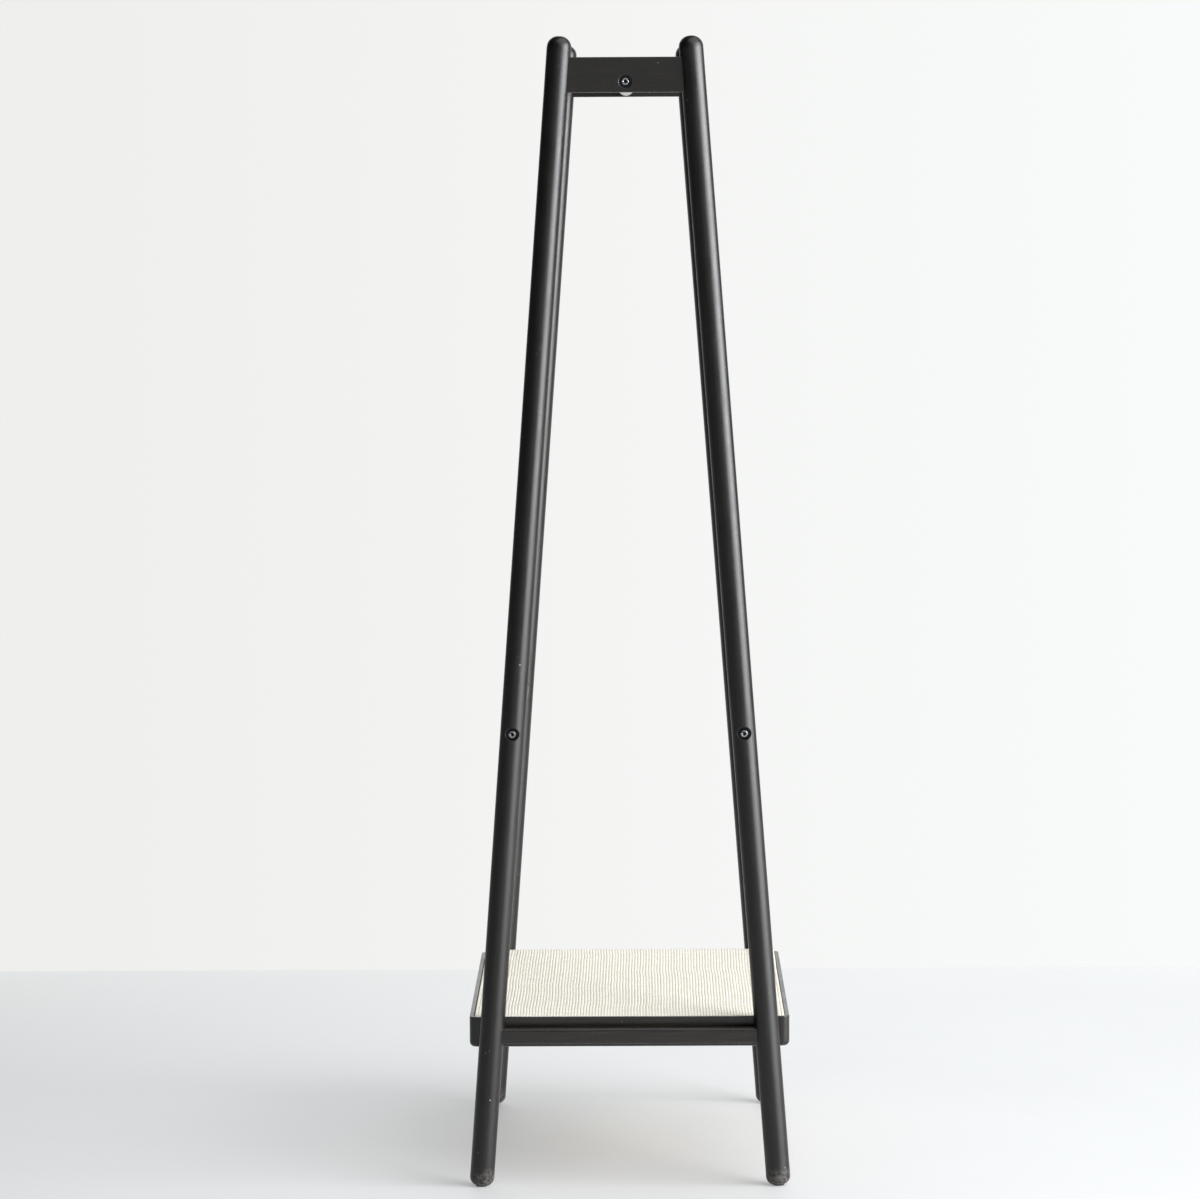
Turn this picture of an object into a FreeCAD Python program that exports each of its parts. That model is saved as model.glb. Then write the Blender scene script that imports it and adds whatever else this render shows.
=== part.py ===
"""Garment rack: two A-shaped end frames of round legs, joined by a hanging rail, middle rails and a shelf.

The rack stands on the XY plane with +Z up and its origin on the floor, midway between the four feet.
The end frames stand at -Y (front) and +Y (rear); each has a left leg at -X and a right leg at +X.
Every size is in millimetres.
"""

import FreeCAD
import Part

import math
import os

from FreeCAD import Vector

# Overall sizes
HEIGHT = 1650.0  # floor to the crown of a leg
END_SPACING = 650.0  # between the leg axes of the two end frames, along Y
FOOT_HALF_SPREAD = 214.5  # leg axis to the middle plane, at the floor
CROWN_HALF_SPREAD = 92.3  # leg axis to the middle plane, at HEIGHT

# Legs: turned dowels with domed ends, each standing on a felt pad
LEG_RADIUS = 17.5
CROWN_EDGE_RADIUS = 16.0
FOOT_EDGE_RADIUS = 12.0
FOOT_DIP = 1.3  # how far the turned foot would reach below the top of its pad, and is cut off
PAD_RADIUS = 8.0
PAD_THICKNESS = 2.0
PAD_EDGE_RADIUS = 0.4

# Top board of each end frame, dowelled between its legs
BOARD_BOTTOM = 1570.0
BOARD_HEIGHT = 50.0
BOARD_THICKNESS = 20.0
BOARD_EDGE_RADIUS = 1.5
BOARD_DOWEL_RADIUS = 4.0
BOARD_DOWEL_LENGTH = 36.0
BOARD_DOWEL_DEPTH = 18.0  # how far a dowel goes into the leg
BOARD_DOWEL_HEIGHTS = (1583.0, 1608.0)

# Bottom stretcher of each end frame, with a round tenon in each leg
STRETCHER_BOTTOM = 208.0
STRETCHER_HEIGHT = 22.0
STRETCHER_THICKNESS = 20.0
STRETCHER_EDGE_RADIUS = 4.0
TENON_RADIUS = 7.0
TENON_DEPTH = 18.0

# Round rails between the end frames, each held by a bolt at both ends
HANGING_RAIL_RADIUS = 14.0
MIDDLE_RAIL_RADIUS = 11.0
HANGING_RAIL_HEIGHT = 1585.5
MIDDLE_RAIL_HEIGHT = 657.0

# Bolts, washers and insert nuts
BOLT_RADIUS = 3.0
BOLT_HEAD_RADIUS = 5.0
BOLT_HEAD_HEIGHT = 6.0
BOLT_HEAD_EDGE = 0.5
HEX_ACROSS_FLATS = 5.0
HEX_DEPTH = 3.0
WASHER_RADIUS = 7.0
WASHER_THICKNESS = 1.5
WASHER_BORE_RADIUS = 3.2
BOLT_HOLE_RADIUS = 3.3
COUNTERBORE_RADIUS = 9.0
COUNTERBORE_DEPTH = 8.5
COUNTERBORE_RIM = 1.2  # radius that softens a counterbore's rim
INSERT_RADIUS = 5.0
INSERT_LENGTH = 18.0
INSERT_END_GAP = 0.5  # between an insert nut and the floor of its pocket
BOLT_GRIP_IN_INSERT = 15.0

# Shelf: four thin boards around a panel with a woven mat on it
SHELF_WIDTH = 462.0
SHELF_BOTTOM = 199.0
SHELF_HEIGHT = 44.0
SHELF_BOARD = 12.0
SHELF_CORNER_RADIUS = 11.0
SHELF_BOTTOM_EDGE_RADIUS = 7.0
SHELF_TOP_EDGE_RADIUS = 1.0
SHELF_LIP = 6.0  # width of the rim around the mat
SHELF_LEG_GAP = 0.3
PANEL_THICKNESS = 4.0
MAT_THICKNESS = 4.0
PANEL_GAP = 0.4  # between the panel and the rim
MAT_GAP = 1.0  # between the mat and the rim
PANEL_CORNER_RADIUS = 1.0
MAT_CORNER_RADIUS = 2.0
BEARER_WIDTH = 20.0
BEARER_HEIGHT = 25.0
BEARER_OFFSET = 100.0
BEARER_EDGE_RADIUS = 2.0
SHELF_DOWEL_RADIUS = 3.0
SHELF_DOWEL_DEPTH = 6.0  # how far a dowel goes into a side board
SHELF_DOWEL_LENGTH = 24.0
SHELF_DOWEL_HEIGHTS = (210.0, 227.0)
SCREW_RADIUS = 2.25
SCREW_LENGTH = 35.0
SCREW_HEAD_RADIUS = 4.0
SCREW_HEAD_HEIGHT = 2.5
SCREW_HEAD_EDGE = 1.5
CROSS_SLOT_WIDTH = 1.2
CROSS_SLOT_LENGTH = 4.4
CROSS_SLOT_DEPTH = 1.4
SCREW_HEIGHTS = (204.0, 229.5)

FIT = 0.05  # radial clearance around dowels, tenons and scribed ends
END_FIT = 0.5  # clearance past the end of a dowel or tenon
OVERCUT = 1.0  # how far a cutter reaches past the face that it opens

# Worked out from the sizes above
SLOPE = (FOOT_HALF_SPREAD - CROWN_HALF_SPREAD) / HEIGHT
LEAN = math.atan(SLOPE)
END_Y = END_SPACING / 2
SHELF_TOP = SHELF_BOTTOM + SHELF_HEIGHT
SHELF_HALF_WIDTH = SHELF_WIDTH / 2
SHELF_HALF_LENGTH = END_Y - LEG_RADIUS - SHELF_LEG_GAP
REBATE_BOTTOM = SHELF_TOP - PANEL_THICKNESS - MAT_THICKNESS
SIDES = {"left": -1, "right": 1}
ENDS = {"front": -1, "rear": 1}

X_AXIS = Vector(1, 0, 0)
Y_AXIS = Vector(0, 1, 0)
Z_AXIS = Vector(0, 0, 1)


def leg_axis_x(height):
    """Distance from the middle plane to a leg's axis, at a height."""
    return FOOT_HALF_SPREAD - SLOPE * height


def rod(radius, start, end):
    """Plain cylinder from one point to another."""
    along = end - start
    return Part.makeCylinder(radius, along.Length, start, along)


def block(low, high):
    """Box between its lowest and highest corner."""
    size = high - low
    return Part.makeBox(size.x, size.y, size.z, low)


def rounded(solid, radius, wanted):
    """The solid with the edges that wanted(edge) accepts rounded to a radius."""
    edges = [edge for edge in solid.Edges if wanted(edge)]
    return solid.makeFillet(radius, edges)


def runs_along(edge, direction):
    """Whether a straight edge is parallel to a direction."""
    if not isinstance(edge.Curve, Part.Line):
        return False
    return abs(edge.tangentAt(edge.FirstParameter).dot(direction)) > 0.999


def leg_core(side, end, radius):
    """Endless cylinder on a leg's axis, to scribe its neighbours to the leg."""
    low = -100.0
    high = HEIGHT + 100.0
    return rod(
        radius,
        Vector(side * leg_axis_x(low), end * END_Y, low),
        Vector(side * leg_axis_x(high), end * END_Y, high),
    )


def turned_dowel():
    """Leg before drilling, upright on its own axis, with a softly flattened foot and crown.

    Leaning, the foot's lowest point comes FOOT_DIP below the pad's top, and the crown's highest to HEIGHT.
    """
    foot_flat = LEG_RADIUS - FOOT_EDGE_RADIUS
    foot_rise = PAD_THICKNESS - FOOT_DIP + FOOT_EDGE_RADIUS + foot_flat * math.sin(LEAN)
    foot_centre = foot_rise / math.cos(LEAN)
    foot = foot_centre - FOOT_EDGE_RADIUS
    crown_flat = LEG_RADIUS - CROWN_EDGE_RADIUS
    crown_rise = HEIGHT - CROWN_EDGE_RADIUS - crown_flat * math.sin(LEAN)
    crown_centre = crown_rise / math.cos(LEAN)
    crown = crown_centre + CROWN_EDGE_RADIUS
    foot_bend = FOOT_EDGE_RADIUS * math.sqrt(0.5)
    crown_bend = CROWN_EDGE_RADIUS * math.sqrt(0.5)
    foot_start = Vector(foot_flat, 0, foot)
    foot_mid = Vector(foot_flat + foot_bend, 0, foot_centre - foot_bend)
    foot_end = Vector(LEG_RADIUS, 0, foot_centre)
    crown_start = Vector(LEG_RADIUS, 0, crown_centre)
    crown_mid = Vector(crown_flat + crown_bend, 0, crown_centre + crown_bend)
    crown_end = Vector(crown_flat, 0, crown)
    outline = [
        Part.makeLine(Vector(0, 0, foot), foot_start),
        Part.Arc(foot_start, foot_mid, foot_end).toShape(),
        Part.makeLine(foot_end, crown_start),
        Part.Arc(crown_start, crown_mid, crown_end).toShape(),
        Part.makeLine(crown_end, Vector(0, 0, crown)),
        Part.makeLine(Vector(0, 0, crown), Vector(0, 0, foot)),
    ]
    return Part.Face(Part.Wire(outline)).revolve(Vector(0, 0, 0), Z_AXIS, 360)


def bolt_hole(mouth, inward, depth):
    """Counterbore for the head and washer, and the clearance hole behind it."""
    clear_of_leg = mouth - inward * LEG_RADIUS
    counterbore = rod(COUNTERBORE_RADIUS, clear_of_leg, mouth + inward * COUNTERBORE_DEPTH)
    through = rod(BOLT_HOLE_RADIUS, mouth, mouth + inward * depth)
    return counterbore.fuse(through)


def with_soft_rim(solid, mouth, inward):
    """The solid with the rim of the counterbore at that mouth rounded over."""

    def is_rim(edge):
        box = edge.BoundBox
        across = abs(box.XLength - 2 * COUNTERBORE_RADIUS) + abs(box.ZLength - 2 * COUNTERBORE_RADIUS)
        offset = box.Center - mouth
        depth = offset.dot(inward)
        return across < 1 and (offset - inward * depth).Length < 1 and depth < COUNTERBORE_DEPTH / 2

    return rounded(solid, COUNTERBORE_RIM, is_rim)


def leg(side, end):
    """Leaning leg with its flat for the pad and its holes for dowels, tenon, bolt and shelf screws."""
    solid = turned_dowel()
    solid.rotate(Vector(0, 0, 0), Y_AXIS, -side * math.degrees(LEAN))
    solid.translate(Vector(side * FOOT_HALF_SPREAD, end * END_Y, 0))
    reach = 2 * LEG_RADIUS
    cuts = [
        block(
            Vector(side * FOOT_HALF_SPREAD - reach, end * END_Y - reach, -reach),
            Vector(side * FOOT_HALF_SPREAD + reach, end * END_Y + reach, PAD_THICKNESS),
        )
    ]
    for height in BOARD_DOWEL_HEIGHTS:
        cuts.append(board_dowel_at(side, end, height, FIT, END_FIT))
    cuts.append(tenon(side, end, FIT, END_FIT))
    mouth = Vector(side * leg_axis_x(MIDDLE_RAIL_HEIGHT), end * (END_Y + LEG_RADIUS), MIDDLE_RAIL_HEIGHT)
    cuts.append(bolt_hole(mouth, Y_AXIS * -end, 2 * LEG_RADIUS + OVERCUT))
    for height in SCREW_HEIGHTS:
        cuts.append(screw_shank(side, end, height, 0.0))
    return with_soft_rim(solid.cut(cuts), mouth, Y_AXIS * -end)


def foot_pad(side, end):
    """Felt disc under a foot, with a softened lower rim."""
    centre = Vector(side * FOOT_HALF_SPREAD, end * END_Y, 0)
    disc = Part.makeCylinder(PAD_RADIUS, PAD_THICKNESS, centre, Z_AXIS)
    return rounded(disc, PAD_EDGE_RADIUS, lambda edge: edge.BoundBox.ZMax < PAD_THICKNESS / 2)


def board_dowel_at(side, end, height, fit=0.0, end_fit=0.0):
    """Dowel, or its hole with its fits added, between a top board and a leg."""
    leg_face = leg_axis_x(height) - LEG_RADIUS
    outer = leg_face + BOARD_DOWEL_DEPTH + end_fit
    inner = leg_face + BOARD_DOWEL_DEPTH - BOARD_DOWEL_LENGTH - end_fit
    return rod(
        BOARD_DOWEL_RADIUS + fit,
        Vector(side * inner, end * END_Y, height),
        Vector(side * outer, end * END_Y, height),
    )


def board_dowels(end):
    """The four dowels of one top board."""
    places = [(side, height) for side in SIDES.values() for height in BOARD_DOWEL_HEIGHTS]
    return [board_dowel_at(side, end, height) for side, height in places]


def cross_bar(end, bottom, height, thickness, edge_radius):
    """Bar between the two legs of an end frame, its long edges rounded and its ends scribed to the legs."""
    reach = leg_axis_x(bottom + height) - LEG_RADIUS / 3
    bar = block(
        Vector(-reach, end * END_Y - thickness / 2, bottom),
        Vector(reach, end * END_Y + thickness / 2, bottom + height),
    )
    bar = rounded(bar, edge_radius, lambda edge: runs_along(edge, X_AXIS))
    return bar.cut([leg_core(side, end, LEG_RADIUS + FIT) for side in SIDES.values()])


def top_board(end):
    """Flat board with its dowel holes and the counterbored hole for the hanging rail's bolt."""
    board = cross_bar(end, BOARD_BOTTOM, BOARD_HEIGHT, BOARD_THICKNESS, BOARD_EDGE_RADIUS)
    cuts = [
        board_dowel_at(side, end, height, FIT, END_FIT)
        for side in SIDES.values()
        for height in BOARD_DOWEL_HEIGHTS
    ]
    mouth = Vector(0, end * (END_Y + BOARD_THICKNESS / 2), HANGING_RAIL_HEIGHT)
    cuts.append(bolt_hole(mouth, Y_AXIS * -end, BOARD_THICKNESS + OVERCUT))
    return with_soft_rim(board.cut(cuts), mouth, Y_AXIS * -end)


def tenon(side, end, fit=0.0, end_fit=0.0):
    """Round tenon of a stretcher, or its hole with its fits added, from inside the bar into the leg."""
    height = STRETCHER_BOTTOM + STRETCHER_HEIGHT / 2
    leg_face = leg_axis_x(height) - LEG_RADIUS
    return rod(
        TENON_RADIUS + fit,
        Vector(side * (leg_face - TENON_DEPTH), end * END_Y, height),
        Vector(side * (leg_face + TENON_DEPTH + end_fit), end * END_Y, height),
    )


def stretcher(end):
    """Rounded bar with a tenon turned on each end."""
    bar = cross_bar(end, STRETCHER_BOTTOM, STRETCHER_HEIGHT, STRETCHER_THICKNESS, STRETCHER_EDGE_RADIUS)
    return bar.fuse([tenon(side, end) for side in SIDES.values()]).removeSplitter()


def insert_nut(mouth, inward):
    """Sleeve nut sunk in a rail's end, flush with the mouth of its pocket."""
    sleeve = rod(INSERT_RADIUS, mouth, mouth + inward * INSERT_LENGTH)
    bore = rod(BOLT_RADIUS + FIT, mouth - inward * OVERCUT, mouth + inward * (INSERT_LENGTH + OVERCUT))
    return sleeve.cut(bore)


def drilled_rail(rail, mouths):
    """Rail with a pocket for the insert nut at each end, cut through the scribed rim as well."""
    depth = INSERT_LENGTH + INSERT_END_GAP
    pockets = [
        rod(INSERT_RADIUS + FIT, mouth - inward * INSERT_RADIUS, mouth + inward * depth)
        for mouth, inward in mouths
    ]
    return rail.cut(pockets)


def hanging_rail_mouths():
    """Where the hanging rail meets the top boards, and the way into the rail."""
    face = END_Y - BOARD_THICKNESS / 2
    return [(Vector(0, end * face, HANGING_RAIL_HEIGHT), Y_AXIS * -end) for end in ENDS.values()]


def middle_rail_mouths(side):
    """Where a middle rail meets its two legs, on the rail's axis, and the way into the rail."""
    face = END_Y - LEG_RADIUS
    x = side * leg_axis_x(MIDDLE_RAIL_HEIGHT)
    return [(Vector(x, end * face, MIDDLE_RAIL_HEIGHT), Y_AXIS * -end) for end in ENDS.values()]


def hanging_rail():
    """Round rail with square ends against the inner faces of the top boards."""
    mouths = hanging_rail_mouths()
    return drilled_rail(rod(HANGING_RAIL_RADIUS, mouths[0][0], mouths[1][0]), mouths)


def middle_rail(side):
    """Round rail whose ends are scribed to the legs, which also stops it turning."""
    x = side * leg_axis_x(MIDDLE_RAIL_HEIGHT)
    front = Vector(x, -END_Y, MIDDLE_RAIL_HEIGHT)
    rear = Vector(x, END_Y, MIDDLE_RAIL_HEIGHT)
    bar = rod(MIDDLE_RAIL_RADIUS, front, rear)
    bar = bar.cut([leg_core(side, end, LEG_RADIUS + FIT) for end in ENDS.values()])
    return drilled_rail(bar, middle_rail_mouths(side))


def cap_screw(seat, inward, length):
    """Socket-head bolt whose head rests on a washer at seat; inward is the way its shank points."""
    top = seat - inward * BOLT_HEAD_HEIGHT

    def is_top_rim(edge):
        on_top = abs((edge.CenterOfMass - top).dot(inward)) < BOLT_HEAD_EDGE / 2
        return on_top and isinstance(edge.Curve, Part.Circle)

    head = rounded(rod(BOLT_HEAD_RADIUS, top, seat), BOLT_HEAD_EDGE, is_top_rim)
    corner = HEX_ACROSS_FLATS / math.sqrt(3)
    sideways = inward.cross(Z_AXIS) * corner
    upwards = Z_AXIS * corner
    above = top - inward * OVERCUT
    turns = [k * math.pi / 3 for k in range(7)]
    ring = [above + sideways * math.cos(turn) + upwards * math.sin(turn) for turn in turns]
    socket = Part.Face(Part.makePolygon(ring)).extrude(inward * (HEX_DEPTH + OVERCUT))
    shank = rod(BOLT_RADIUS, seat - inward, seat + inward * length)
    return head.fuse(shank).cut(socket).removeSplitter()


def washer(base, outward):
    """Flat ring lying on base."""
    ring = rod(WASHER_RADIUS, base, base + outward * WASHER_THICKNESS)
    reach = outward * (WASHER_THICKNESS + OVERCUT)
    return ring.cut(rod(WASHER_BORE_RADIUS, base - outward * OVERCUT, base + reach))


def bolt_set(mouths, wall):
    """Bolts, washers and insert nuts for rails that are bolted through a wall of that thickness."""
    bolts = []
    washers = []
    nuts = []
    for mouth, inward in mouths:
        floor = mouth - inward * (wall - COUNTERBORE_DEPTH)
        seat = floor - inward * WASHER_THICKNESS
        length = (mouth - seat).Length + BOLT_GRIP_IN_INSERT
        bolts.append(cap_screw(seat, inward, length))
        washers.append(washer(floor, inward * -1))
        nuts.append(insert_nut(mouth, inward))
    return bolts, washers, nuts


def shelf_ring():
    """The shelf's rim as one ring: rounded outside, rebated inside for the panel and mat."""
    ring = block(
        Vector(-SHELF_HALF_WIDTH, -SHELF_HALF_LENGTH, SHELF_BOTTOM),
        Vector(SHELF_HALF_WIDTH, SHELF_HALF_LENGTH, SHELF_TOP),
    )
    low, high = SHELF_BOTTOM + OVERCUT, SHELF_TOP - OVERCUT
    ring = rounded(ring, SHELF_CORNER_RADIUS, lambda edge: runs_along(edge, Z_AXIS))
    ring = rounded(ring, SHELF_BOTTOM_EDGE_RADIUS, lambda edge: edge.BoundBox.ZMax < low)
    ring = rounded(ring, SHELF_TOP_EDGE_RADIUS, lambda edge: edge.BoundBox.ZMin > high)
    inner_x = SHELF_HALF_WIDTH - SHELF_BOARD
    inner_y = SHELF_HALF_LENGTH - SHELF_BOARD
    top = SHELF_TOP + OVERCUT
    well = block(Vector(-inner_x, -inner_y, SHELF_BOTTOM - OVERCUT), Vector(inner_x, inner_y, top))
    lip_x = SHELF_HALF_WIDTH - SHELF_LIP
    lip_y = SHELF_HALF_LENGTH - SHELF_LIP
    rebate = block(Vector(-lip_x, -lip_y, REBATE_BOTTOM), Vector(lip_x, lip_y, top))
    return ring.cut([well, rebate])


def shelf_dowel_at(side, y, height, fit, end_fit):
    """Dowel, or its hole with its fits added, from a side board into the end of a cross piece."""
    tip = SHELF_HALF_WIDTH - SHELF_BOARD + SHELF_DOWEL_DEPTH
    outer = tip + end_fit
    inner = tip - SHELF_DOWEL_LENGTH - end_fit
    return rod(SHELF_DOWEL_RADIUS + fit, Vector(side * inner, y, height), Vector(side * outer, y, height))


def shelf_dowels(fit=0.0, end_fit=0.0):
    """All the shelf's dowels: two at each corner and one at each end of a bearer."""
    end_y = SHELF_HALF_LENGTH - SHELF_BOARD / 2
    places = [(end * end_y, height) for end in ENDS.values() for height in SHELF_DOWEL_HEIGHTS]
    bearer_height = REBATE_BOTTOM - BEARER_HEIGHT / 2
    places += [(end * BEARER_OFFSET, bearer_height) for end in ENDS.values()]
    return [
        shelf_dowel_at(side, y, height, fit, end_fit) for side in SIDES.values() for y, height in places
    ]


def screw_shank(side, end, height, fit):
    """Shank of a shelf screw, through an end board into a leg."""
    inner = SHELF_HALF_LENGTH - SHELF_BOARD
    x = side * leg_axis_x(height)
    return rod(
        SCREW_RADIUS + fit,
        Vector(x, end * inner, height),
        Vector(x, end * (inner + SCREW_LENGTH), height),
    )


def shelf_screw(side, end, height):
    """Pan-head wood screw, its head on the inner face of the end board."""
    inner = SHELF_HALF_LENGTH - SHELF_BOARD
    x = side * leg_axis_x(height)
    face = Vector(x, end * inner, height)
    top = Vector(x, end * (inner - SCREW_HEAD_HEIGHT), height)

    def is_top_rim(edge):
        on_top = abs(edge.CenterOfMass.y - top.y) < SCREW_HEAD_EDGE / 2
        return on_top and isinstance(edge.Curve, Part.Circle)

    head = rounded(rod(SCREW_HEAD_RADIUS, top, face), SCREW_HEAD_EDGE, is_top_rim)
    narrow, long = CROSS_SLOT_WIDTH / 2, CROSS_SLOT_LENGTH / 2
    back = end * (inner - SCREW_HEAD_HEIGHT - OVERCUT)
    floor = end * (inner - SCREW_HEAD_HEIGHT + CROSS_SLOT_DEPTH)
    low_y, high_y = sorted((back, floor))
    slots = [
        block(Vector(x - half_x, low_y, height - half_z), Vector(x + half_x, high_y, height + half_z))
        for half_x, half_z in ((narrow, long), (long, narrow))
    ]
    return head.fuse(screw_shank(side, end, height, 0.0)).cut(slots).removeSplitter()


def shelf_boards():
    """The rim's ring parted into two side boards and two end boards, drilled for dowels and screws."""
    ring = shelf_ring().cut(shelf_dowels(FIT, END_FIT))
    shanks = [
        screw_shank(side, end, height, FIT)
        for side in SIDES.values()
        for end in ENDS.values()
        for height in SCREW_HEIGHTS
    ]
    ring = ring.cut(shanks)
    inner_x = SHELF_HALF_WIDTH - SHELF_BOARD
    reach_y = SHELF_HALF_LENGTH + OVERCUT
    low_z, high_z = SHELF_BOTTOM - OVERCUT, SHELF_TOP + OVERCUT
    boards = {}
    for name, side in SIDES.items():
        low_x, high_x = sorted((side * inner_x, side * (SHELF_HALF_WIDTH + OVERCUT)))
        keep = block(Vector(low_x, -reach_y, low_z), Vector(high_x, reach_y, high_z))
        boards[f"shelf_{name}_board"] = ring.common(keep)
    for name, end in ENDS.items():
        low_y, high_y = sorted((end * SHELF_HALF_LENGTH / 2, end * reach_y))
        keep = block(Vector(-inner_x, low_y, low_z), Vector(inner_x, high_y, high_z))
        boards[f"shelf_{name}_board"] = ring.common(keep)
    return boards


def shelf_bearer(end):
    """Cross piece under the panel."""
    inner_x = SHELF_HALF_WIDTH - SHELF_BOARD
    bar = block(
        Vector(-inner_x, end * BEARER_OFFSET - BEARER_WIDTH / 2, REBATE_BOTTOM - BEARER_HEIGHT),
        Vector(inner_x, end * BEARER_OFFSET + BEARER_WIDTH / 2, REBATE_BOTTOM),
    )

    def is_lower(edge):
        return runs_along(edge, X_AXIS) and edge.BoundBox.ZMax < REBATE_BOTTOM - BEARER_HEIGHT / 2

    return rounded(bar, BEARER_EDGE_RADIUS, is_lower).cut(shelf_dowels(FIT, END_FIT))


def shelf_sheet(bottom, thickness, gap, corner):
    """Flat sheet that fills the rebate but for a gap: the plywood panel or the mat."""
    half_x = SHELF_HALF_WIDTH - SHELF_LIP - gap
    half_y = SHELF_HALF_LENGTH - SHELF_LIP - gap
    sheet = block(Vector(-half_x, -half_y, bottom), Vector(half_x, half_y, bottom + thickness))
    return rounded(sheet, corner, lambda edge: runs_along(edge, Z_AXIS))


def build():
    """Every node's name with its list of solids."""
    nodes = {}
    for end_name, end in ENDS.items():
        for side_name, side in SIDES.items():
            nodes[f"{end_name}_{side_name}_leg"] = [leg(side, end)]
            nodes[f"{end_name}_{side_name}_foot_pad"] = [foot_pad(side, end)]
        nodes[f"{end_name}_top_board"] = [top_board(end)]
        nodes[f"{end_name}_board_dowels"] = board_dowels(end)
        nodes[f"{end_name}_stretcher"] = [stretcher(end)]
        nodes[f"shelf_{end_name}_bearer"] = [shelf_bearer(end)]

    nodes["hanging_rail"] = [hanging_rail()]
    for side_name, side in SIDES.items():
        nodes[f"{side_name}_middle_rail"] = [middle_rail(side)]

    both_rails = [mouth for side in SIDES.values() for mouth in middle_rail_mouths(side)]
    joints = {
        "hanging_rail": (hanging_rail_mouths(), BOARD_THICKNESS),
        "middle_rail": (both_rails, 2 * LEG_RADIUS),
    }
    for name, (mouths, wall) in joints.items():
        bolts, washers, nuts = bolt_set(mouths, wall)
        nodes[f"{name}_bolts"] = bolts
        nodes[f"{name}_washers"] = washers
        nodes[f"{name}_insert_nuts"] = nuts

    for name, board in shelf_boards().items():
        nodes[name] = [board]
    panel = shelf_sheet(REBATE_BOTTOM, PANEL_THICKNESS, PANEL_GAP, PANEL_CORNER_RADIUS)
    mat_bottom = REBATE_BOTTOM + PANEL_THICKNESS
    mat = shelf_sheet(mat_bottom, MAT_THICKNESS, MAT_GAP, MAT_CORNER_RADIUS)
    nodes["shelf_panel"] = [panel]
    nodes["woven_mat"] = [mat]
    nodes["shelf_dowels"] = shelf_dowels()
    nodes["shelf_screws"] = [
        shelf_screw(side, end, height)
        for side in SIDES.values()
        for end in ENDS.values()
        for height in SCREW_HEIGHTS
    ]
    return nodes


def write(nodes):
    """One STEP file per node, with a line on each node's solids."""
    os.makedirs("parts", exist_ok=True)
    for name, pieces in nodes.items():
        solids = [solid for piece in pieces for solid in piece.Solids]
        for solid in solids:
            if not solid.isValid():
                raise ValueError(f"{name} holds a solid that isn't valid")
        if len(solids) != len(pieces):
            raise ValueError(f"{name} should hold {len(pieces)} solids and holds {len(solids)}")
        shape = solids[0] if len(solids) == 1 else Part.makeCompound(solids)
        shape.exportStep(f"parts/{name}.step")
        volume = sum(solid.Volume for solid in solids) / 1000
        print(f"{name}: {len(solids)} solid(s), {volume:.1f} cm3")


write(build())
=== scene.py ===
"""A freestanding garment rack of satin black beech, with a ribbed paper-cord mat on its low shelf.

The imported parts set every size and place. This script gives each of them its finish, and puts a woven
mat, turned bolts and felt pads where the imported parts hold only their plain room.
"""

from __future__ import annotations

import logging
import math
from collections.abc import Mapping, Sequence
from dataclasses import dataclass, field
from enum import Enum
from typing import Any

import bpy
import numpy as np
from mathutils import Matrix, Vector

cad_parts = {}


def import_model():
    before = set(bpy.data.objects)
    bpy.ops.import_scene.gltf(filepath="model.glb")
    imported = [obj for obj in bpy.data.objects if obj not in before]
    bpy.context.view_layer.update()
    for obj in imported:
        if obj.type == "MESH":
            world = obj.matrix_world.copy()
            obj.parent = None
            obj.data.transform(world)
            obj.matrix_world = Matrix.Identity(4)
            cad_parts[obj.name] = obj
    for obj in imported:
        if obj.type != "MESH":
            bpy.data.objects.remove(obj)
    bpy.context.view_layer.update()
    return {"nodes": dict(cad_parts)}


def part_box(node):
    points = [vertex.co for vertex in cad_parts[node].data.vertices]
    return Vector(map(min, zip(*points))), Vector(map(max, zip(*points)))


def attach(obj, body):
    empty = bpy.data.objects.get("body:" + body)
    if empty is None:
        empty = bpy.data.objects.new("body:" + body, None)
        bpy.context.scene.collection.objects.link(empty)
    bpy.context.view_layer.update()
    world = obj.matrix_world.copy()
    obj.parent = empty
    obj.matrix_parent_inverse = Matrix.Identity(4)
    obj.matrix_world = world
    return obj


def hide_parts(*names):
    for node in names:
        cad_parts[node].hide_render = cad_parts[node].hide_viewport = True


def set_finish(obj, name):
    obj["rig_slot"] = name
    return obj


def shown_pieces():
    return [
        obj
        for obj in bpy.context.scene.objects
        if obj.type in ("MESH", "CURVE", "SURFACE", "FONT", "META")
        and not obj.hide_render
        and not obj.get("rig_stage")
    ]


log = logging.getLogger("garment_rack")

MM = 0.001  # one millimetre, in metres
QUARTER_TURN = np.radians([0, 30, 60, 90])  # steps that round an edge

Array = np.ndarray
Colour = tuple[float, float, float, float]
Tree = bpy.types.NodeTree
Socket = bpy.types.NodeSocket
Nodes = Mapping[str, bpy.types.Object]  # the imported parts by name
Triple = tuple[float, float, float]


class Slot(Enum):
    """The record's material slots that new pieces take."""

    MAT = "mat"
    BOLT = "bolt"
    FOOT_PAD = "foot_pad"


class Grain(Enum):
    """The way a board's or rail's grain runs, as the turn in degrees that lays it along Z."""

    ALONG_X = (0.0, -90.0, 0.0)
    ALONG_Y = (90.0, 0.0, 0.0)


# Small tools


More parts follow.
